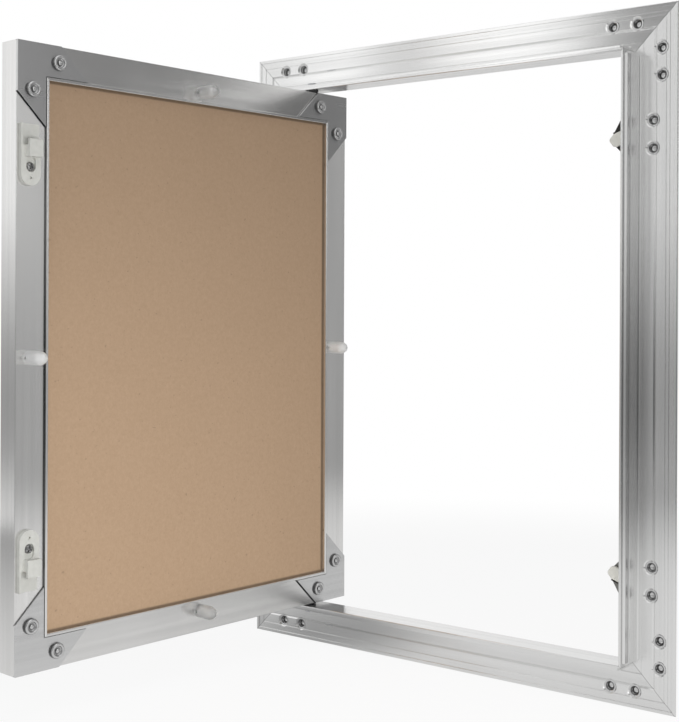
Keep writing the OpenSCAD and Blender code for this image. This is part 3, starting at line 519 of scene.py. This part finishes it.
# The board: plasterboard with a brown kraft paper back and an ivory paper face, laid into the door.
# It has painted shade: darker towards its top, and along the edge of its back where the rim shades it.
BOARD_HALF_W, BOARD_HALF_H, BOARD_BACK = 0.126, 0.176, -0.0035
BROWN_DARK, BROWN_LIGHT = (0.445, 0.307, 0.197), (0.505, 0.353, 0.235)
IVORY_DARK, IVORY_LIGHT = (0.47, 0.445, 0.39), (0.52, 0.50, 0.44)
PAPER_LOW, PAPER_HIGH = 0.36, 0.64
FIBRES, MOTTLE, PAPER_CLOUDS, FLECKS = (900, 900, 600), 300, 14, 420
FIBRE_SHARE, MOTTLE_SHARE, PAPER_CLOUD_SHARE, TOOTH = 0.5, 0.4, 0.1, (0.1, 0.0002)
FLECK_STEPS = [(0.735, 1.0), (0.79, 0.78)]
# Painted shade: the board darker along its back's edge, where the rim shades it, and towards its top.
EDGE_START, EDGE_END, EDGE_PAINTED_SHADE = -0.0022, -0.0006, 0.4
BOTTOM_PAINTED_LIGHT, TOP_PAINTED_LIGHT = 1.05, 0.80


def mixed(owner, share, first, second):
    """Two colours mixed by a share, on the sockets that a Mix node keeps for colours."""
    made = add(owner, "Mix", {"data_type": "RGBA"})
    for socket, source in ((0, share), (6, first), (7, second)):
        feed(owner, source, made.inputs[socket])
    return made.outputs[2]


def paper_board():
    """Paper, brown behind and ivory in front, with fibres, a mottle, flecks and a fine tooth from noise.

    Painted shade makes its tone fall in a straight line with height, and smoothly across a narrow strip along the
    back's edge.
    """
    made, shader = new_finish("paper_board")
    laid = object_place(made, LAID)
    fibre = add(made, "Mapping", Vector=laid, Scale=FIBRES).outputs["Vector"]
    strands = noise(made, fibre, 1, 4, 0.7)
    mottle = noise(made, laid, MOTTLE, 4, 0.65)
    clouds = noise(made, laid, PAPER_CLOUDS, 3)
    blend = sums(made, "MULTIPLY_ADD", strands, FIBRE_SHARE, sums(made, "MULTIPLY", mottle, MOTTLE_SHARE))
    blend = sums(made, "MULTIPLY_ADD", clouds, PAPER_CLOUD_SHARE, blend)
    brown = ramp(made, blend, [(PAPER_LOW, BROWN_DARK), (PAPER_HIGH, BROWN_LIGHT)])
    ivory = ramp(made, blend, [(PAPER_LOW, IVORY_DARK), (PAPER_HIGH, IVORY_LIGHT)])
    apart = add(made, "SeparateXYZ", Vector=laid).outputs
    front = sums(made, "LESS_THAN", apart["Y"], BOARD_BACK)
    beside = sums(made, "SUBTRACT", sums(made, "ABSOLUTE", apart["X"]), BOARD_HALF_W)
    over = sums(made, "SUBTRACT", sums(made, "ABSOLUTE", apart["Z"]), BOARD_HALF_H)
    rim = sums(made, "SUBTRACT", sums(made, "MAXIMUM", beside, over), front)
    edge = fade(made, rim, EDGE_START, EDGE_END, 1.0, EDGE_PAINTED_SHADE)
    painted_height_shade = fade(made, apart["Z"], -BOARD_HALF_H, BOARD_HALF_H, BOTTOM_PAINTED_LIGHT, TOP_PAINTED_LIGHT, "LINEAR")
    flecks = ramp(made, noise(made, laid, FLECKS, 1), FLECK_STEPS)
    tone = sums(made, "MULTIPLY", sums(made, "MULTIPLY", edge, painted_height_shade), flecks)
    give(made, shader, Base_Color=scaled(made, mixed(made, front, brown, ivory), tone), Roughness=0.8,
         Specular_IOR_Level=0.3, Normal=bumped(made, strands, *TOOTH))
    return made


coat(paper_board(), "door_board")

# The corner plates: angles of rolled aluminium with ends cut at 45 degrees, laid over the door's mitres.
# Two rivets hold each of them, and the ends that look down get painted shade.
DOWN_FULL, DOWN_NONE, DOWN_PAINTED_SHADE, PLATE_ROUND = -0.6, -0.35, 0.06, 0.0002


def painted_down_shade(owner, _):
    """The plates' painted shade: dark where the surface looks down."""
    facing = add(owner, "SeparateXYZ", Vector=add(owner, "TexCoord").outputs["Normal"]).outputs["Z"]
    return fade(owner, facing, DOWN_FULL, DOWN_NONE, DOWN_PAINTED_SHADE, 1.0)


PLATE_GREY = ((0.80, 0.80, 0.80), (0.73, 0.73, 0.73), (0.28, 0.23))
plate_aluminium = drawn_metal("plate_aluminium", tuple(ACROSS), *PLATE_GREY, painted_down_shade, LAID)
for corner in CORNERS:
    eased("corner_plate_" + corner, plate_aluminium, PLATE_ROUND)

# The door's rivets: satin aluminium blind rivets through the corner plates and the door's flange.
# Each has a domed head, a dish in it and the end of its mandrel, with painted shade on the dish's walls, the
# head's outer slope and round its foot.
DOOR_HALF_W, DOOR_HALF_H = 149, 199
RIVET_NEAR, RIVET_FAR, PLATE_T, DOOR_T, HEAD_TOP, TAIL_T = 11, 30, 1.5, 1.5, 3.5, 1.5
rivet_spots = [(sx * (DOOR_HALF_W - a), DOOR_BACK, sz * (DOOR_HALF_H - b))
               for sx in (-1, 1) for sz in (-1, 1)
               for a, b in ((RIVET_NEAR, RIVET_FAR), (RIVET_FAR, RIVET_NEAR))]
rivet_profile = np.array([
    (0, HEAD_TOP - 0.35), (1.1, HEAD_TOP - 0.4), (1.45, HEAD_TOP - 0.6), (1.5, HEAD_TOP - 1.0),
    (2.6, HEAD_TOP - 1.0), (2.95, HEAD_TOP - 0.8), (3.1, HEAD_TOP - 0.2), (3.35, HEAD_TOP),
    (4.3, HEAD_TOP - 0.06), (4.8, HEAD_TOP - 0.25), (5.05, HEAD_TOP - 0.6), (5.1, HEAD_TOP - 1.0),
    (5.1, PLATE_T), (2.4, PLATE_T), (2.4, -DOOR_T), (3.2, -DOOR_T), (3.2, -DOOR_T - TAIL_T),
    (0, -DOOR_T - TAIL_T)]) / 1000
# The dark steps are painted shade on the dish's walls, the head's outer slope and round the foot.
rivet_aluminium = ringed_metal("rivet_aluminium", [
    (0.0, 0.66), (0.05, 0.60), (0.10, 0.16), (0.15, 0.20), (0.20, 0.55), (0.25, 0.48), (0.31, 0.28),
    (0.38, 0.66), (0.50, 0.66), (0.56, 0.34), (0.61, 0.14), (0.74, 0.12), (1.0, 0.6)], (0.2, 0.28))
rivets = turned("door_rivets_set", rivet_profile, on_door(rivet_spots), ACROSS, INWARD)
fix(rivets, rivet_aluminium, "door_rivets")

# The hinge bushes: flanged sleeves of black plastic, set in the door's rails.
# They turn on the pins, and the rails hide most of them.
black_plastic = moulded("black_plastic", (0.045, 0.045, 0.045), (0.030, 0.030, 0.030), 0.45)
coat(black_plastic, "hinge_bush_top", "hinge_bush_bottom")

# The strikes: white moulded plastic pieces on the latch stile, one for each latch.
# Each has a recess, a block with an overhanging catch, and a pocket for its one screw.
STRIKE_ROUND = 0.0005
strike_plastic = moulded("strike_plastic", (0.62, 0.62, 0.585), (0.56, 0.56, 0.525), 0.40)
for level in ("upper", "lower"):
    eased("strike_" + level, strike_plastic, STRIKE_ROUND)

# The strikes' screws: steel pan heads with a cross recess, one through each strike into the stile.
# The cross is sunk into the dome of the head and leans a little to one side.
SCREW_IN, SCREW_UP, SCREW_SEAT, SCREW_TOP = 8.9, 120, 1.3, 2.8
SHANK_R, SHANK_LEN, SCREW_LEN, DOME_FALL = 1.6, 11.4, 13, 0.035
CROSS_REACH, CROSS_HALF, CROSS_DEEP, CROSS_FADE = 0.0019, 0.00032, 0.0009, 0.00016
CROSS_LEAN, SCREW_SPIN = math.radians(20), 72


def cross_recess(radius, angle):
    """The depth of a cross: full near either of two lines through the middle, inside its reach."""
    off = radius * np.minimum(np.abs(np.sin(angle)), np.abs(np.cos(angle)))
    near = np.clip((CROSS_HALF + CROSS_FADE - off) / CROSS_FADE, 0, 1)
    inside = np.clip((CROSS_REACH + CROSS_FADE - radius) / CROSS_FADE, 0, 1)
    return CROSS_DEEP * near * inside


dome = [(r, SCREW_TOP - DOME_FALL * r * r) for r in np.linspace(0.2, 2.2, 11)]
screw_profile = np.array([
    (0, SCREW_TOP), *dome, (2.5, SCREW_TOP - 0.32), (2.75, SCREW_TOP - 0.6), (2.9, SCREW_TOP - 1.0),
    (2.88, SCREW_SEAT), (SHANK_R, SCREW_SEAT), (SHANK_R, SCREW_SEAT - SHANK_LEN),
    (0, SCREW_SEAT - SCREW_LEN)]) / 1000
screw_spots = [(DOOR_HALF_W - SCREW_IN, DOOR_BACK, s * SCREW_UP) for s in (-1, 1)]
screw_steel = clouded_metal("screw_steel", (0.48, 0.48, 0.47), (0.30, 0.30, 0.30), (0.10, 0.18))
leaning = math.cos(CROSS_LEAN) * ACROSS + math.sin(CROSS_LEAN) * RISE
screw_seats = on_door(screw_spots)
screws = turned("strike_screws_set", screw_profile, screw_seats, leaning, INWARD, SCREW_SPIN, cross_recess)
fix(screws, screw_steel, "strike_screws")

# The stop pegs: translucent plastic, round-nosed, pressed into the door's flange on each side.
# Those on the stiles are milky, and those on the rails clearer.
PEG_LIGHT, PEG_DARK, PEG_ROUGH, PEG_IOR = (0.86, 0.86, 0.85), (0.80, 0.80, 0.79), 0.32, 1.46
PEG_KINDS = (("milky_plastic", 0.28, ("free", "hinge")), ("clear_plastic", 0.72, ("top", "bottom")))
for name, clearness, sides in PEG_KINDS:
    peg_plastic = moulded(name, PEG_LIGHT, PEG_DARK, PEG_ROUGH, Transmission_Weight=clearness, IOR=PEG_IOR)
    coat(peg_plastic, *("stop_peg_" + side for side in sides))

# The studio: a pale round floor and a white surround. Grey cards stand round the object for the metal to
# reflect, with a dimmer row of them at the height of the horizon and an even pale ceiling over them.
FLOOR_REACH, FLOOR_GAP, FLOOR_SPIN = 1.0, 0.0005, 96


def round_floor():
    """A disc of the level plane just under the object: one ring of points at its reach and one face."""
    angle = np.arange(FLOOR_SPIN) * 2 * math.pi / FLOOR_SPIN
    level = np.full(FLOOR_SPIN, solid_box[0][2] - FLOOR_GAP)
    ring = np.stack([FLOOR_REACH * np.cos(angle), FLOOR_REACH * np.sin(angle), level], -1)
    mesh = bpy.data.meshes.new("studio_floor")
    mesh.from_pydata(ring.tolist(), [], [list(range(FLOOR_SPIN))])
    made = show("studio_floor", mesh)
    return made


def seen_rays(owner):
    """The rays that show the background (the camera's, mirrored, let through), and the camera's alone."""
    path = add(owner, "LightPath").outputs
    bounced = sums(owner, "MAXIMUM", path["Is Glossy Ray"], path["Is Transmission Ray"])
    return sums(owner, "MAXIMUM", path["Is Camera Ray"], bounced), path["Is Camera Ray"]


def far_from(owner, middle, near, far):
    """How far a place on the floor lies from a middle: 0 up to near, 1 from far on."""
    shift, flat = (-middle[0], -middle[1], 0), (1, 1, 0)
    off = add(owner, "Mapping", Vector=object_place(owner), Location=shift, Scale=flat).outputs["Vector"]
    reach = add(owner, "VectorMath", {"operation": "LENGTH"}, Vector=off).outputs["Value"]
    return fade(owner, reach, near, far, 0.0, 1.0)


def blended(owner, share, first, second):
    """Two shaders mixed by a share."""
    made = add(owner, "MixShader", Fac=share)
    feed(owner, first.outputs[0], made.inputs[1])
    feed(owner, second.outputs[0], made.inputs[2])
    return made


MIDDLE, UNDER_DOOR = (0, 0), (-0.135, -0.05)
SHADOW_REACH, MIRROR_REACH, DOOR_REACH = (0.45, 0.85), (0.3, 1.35), (0.02, 0.13)


def pale_paper():
    """A pale matt sweep, white to the camera and grey in mirrors, that keeps a soft shadow near the object.

    In mirrors its glow is a painted pool of light that darkens outwards from the middle, with a painted shadow
    under the open door.
    """
    made, paper = new_finish("studio_paper")
    outward = far_from(made, MIDDLE, *SHADOW_REACH)
    give(made, paper, Base_Color=ramp(made, outward, [(0.0, 0.85), (1.0, 0.40)]), Roughness=0.9,
         Specular_IOR_Level=0.1)
    seen, by_camera = seen_rays(made)
    # Painted light: the floor's glow in mirrors, brightest near the middle, and a painted shadow under the open
    # door.
    mirrored = ramp(made, far_from(made, MIDDLE, *MIRROR_REACH), [(0.0, 0.74), (1.0, 0.14)])
    painted_door_shadow = ramp(made, far_from(made, UNDER_DOOR, *DOOR_REACH), [(0.0, 0.35), (1.0, 1.0)])
    strength = sums(made, "MAXIMUM", sums(made, "MULTIPLY", mirrored, painted_door_shadow), by_camera)
    glow = add(made, "Emission", Color=(1, 1, 1, 1), Strength=strength)
    white_share = ramp(made, outward, [(0.0, 0.90), (1.0, 1.0)])
    shown = blended(made, sums(made, "MULTIPLY", seen, white_share), paper, glow)
    give(made, made.node_tree.nodes["Material Output"], Surface=shown.outputs[0])
    return made


round_floor().data.materials.append(pale_paper())

world = bpy.data.worlds.new("studio_surround")
bpy.context.scene.world = world
world.use_nodes = True
world.node_tree.nodes.clear()
ray = add(world, "SeparateXYZ", Vector=add(world, "TexCoord").outputs["Generated"]).outputs
heading = sums(world, "MULTIPLY_ADD", sums(world, "ARCTAN2", ray["Y"], ray["X"]), 0.5 / math.pi, 0.5)
height = sums(world, "MULTIPLY_ADD", ray["Z"], 0.5, 0.5)
high_cards = ramp(world, heading, [
    (0.0, 0.90), (0.12, 0.95), (0.135, 0.70), (0.138, 1.3), (0.1465, 1.3), (0.149, 0.36), (0.1535, 0.36),
    (0.156, 1.45), (0.164, 1.25), (0.174, 1.2), (0.1755, 0.2), (0.190, 0.2), (0.194, 1.0), (0.22, 0.75),
    (0.30, 0.62), (0.348, 0.57), (0.358, 0.10), (0.372, 0.10), (0.380, 1.5), (0.403, 1.3), (0.416, 0.10),
    (0.500, 0.10), (0.510, 1.35), (0.555, 1.35), (0.564, 0.27), (0.596, 0.22), (0.605, 0.12), (0.632, 0.12),
    (0.643, 1.1), (0.664, 1.1), (0.675, 0.16), (0.84, 0.95)])
level_cards = ramp(world, heading, [
    (0.0, 0.32), (0.10, 0.32), (0.17, 0.36), (0.22, 0.26), (0.33, 0.22), (0.36, 0.06), (0.500, 0.06),
    (0.512, 0.50), (0.56, 0.40), (0.65, 0.36), (0.675, 0.14), (0.78, 0.14), (0.9, 0.35)])
above = ramp(world, height, [
    (0.0, 1.0), (0.413, 1.0), (0.4305, 0.35), (0.443, 0.03), (0.465, 0.0), (0.481, 0.08), (0.5, 0.36),
    (0.5175, 0.66), (0.535, 1.0), (1.0, 1.0)])
overhead = ramp(world, height, [(0.0, 0.0), (0.76, 0.0), (0.89, 1.0), (1.0, 1.0)])
CEILING, FILL = (0.85, 0.85, 0.85, 1), (0.98, 0.99, 1.0, 1)
cards = mixed(world, overhead, mixed(world, above, level_cards, high_cards), CEILING)
seen, by_camera = seen_rays(world)
reflected = add(world, "Background", Color=cards, Strength=1.0)
backdrop = add(world, "Background", Color=(1, 1, 1, 1), Strength=1.0)
fill = add(world, "Background", Color=FILL, Strength=0.30)
shown = blended(world, seen, fill, blended(world, by_camera, reflected, backdrop))
add(world, "OutputWorld", Surface=shown.outputs[0])


def soft_lamp(name, place, aim, wide, tall, power):
    """An oblong lamp at place that looks at aim."""
    lamp = bpy.data.lights.new(name, "AREA")
    lamp.shape = "RECTANGLE"
    lamp.size = wide
    lamp.size_y = tall
    lamp.energy = power
    made = show(name, lamp)
    back = np.array(place, float) - np.array(aim, float)
    back /= np.linalg.norm(back)
    side = np.cross(RISE, back)
    side /= np.linalg.norm(side)
    turn = np.eye(4)
    turn[:3] = np.stack([side, np.cross(back, side), back, np.array(place, float)], 1)
    made.matrix_world = Matrix(turn)
    made.visible_camera = False
    made.visible_glossy = False


soft_lamp("top_lamp", (0.5, -0.5, 1.3), (0.3, -0.3, 0), 1.0, 1.0, 4)
soft_lamp("low_lamp", (0.45, -0.40, -0.02), (-0.13, -0.16, -0.21), 0.5, 0.2, 2.15)
soft_lamp("front_lamp", (-0.1, -1.7, 0.2), (0, 0, 0), 0.8, 0.8, 6)

# The camera: level, as in the photograph, with its principal point right of the middle and above it.
# Its place, its turn and its lens come from a fit of the perspective to the frame's and the door's corners.
FOCAL_PX, CENTRE_X, CENTRE_Y = 1262.85, 389.3, 301.74
PHOTO_W, PHOTO_H, SENSOR = 679, 722, 36.0
EYE = np.array([0.51968, -0.77190, 0.03622])
YAW, ROLL = -0.63519, 0.0045
lens = bpy.data.cameras.new("photo_camera")
lens.sensor_width = SENSOR
lens.lens = FOCAL_PX * SENSOR / PHOTO_H
lens.shift_x = (PHOTO_W / 2 - CENTRE_X) / PHOTO_H
lens.shift_y = (CENTRE_Y - PHOTO_H / 2) / PHOTO_H
lens.clip_start = 0.01
ahead = np.array([math.sin(YAW), math.cos(YAW), 0])
level_right = np.array([math.cos(YAW), -math.sin(YAW), 0])
right = math.cos(ROLL) * level_right + math.sin(ROLL) * RISE
top = math.cos(ROLL) * RISE - math.sin(ROLL) * level_right
stand = np.eye(4)
stand[:3] = np.stack([right, top, -ahead, EYE], 1)
camera = show("photo_camera", lens)
camera.matrix_world = Matrix(stand)
bpy.context.scene.camera = camera
bpy.context.scene.view_settings.view_transform = "Standard"
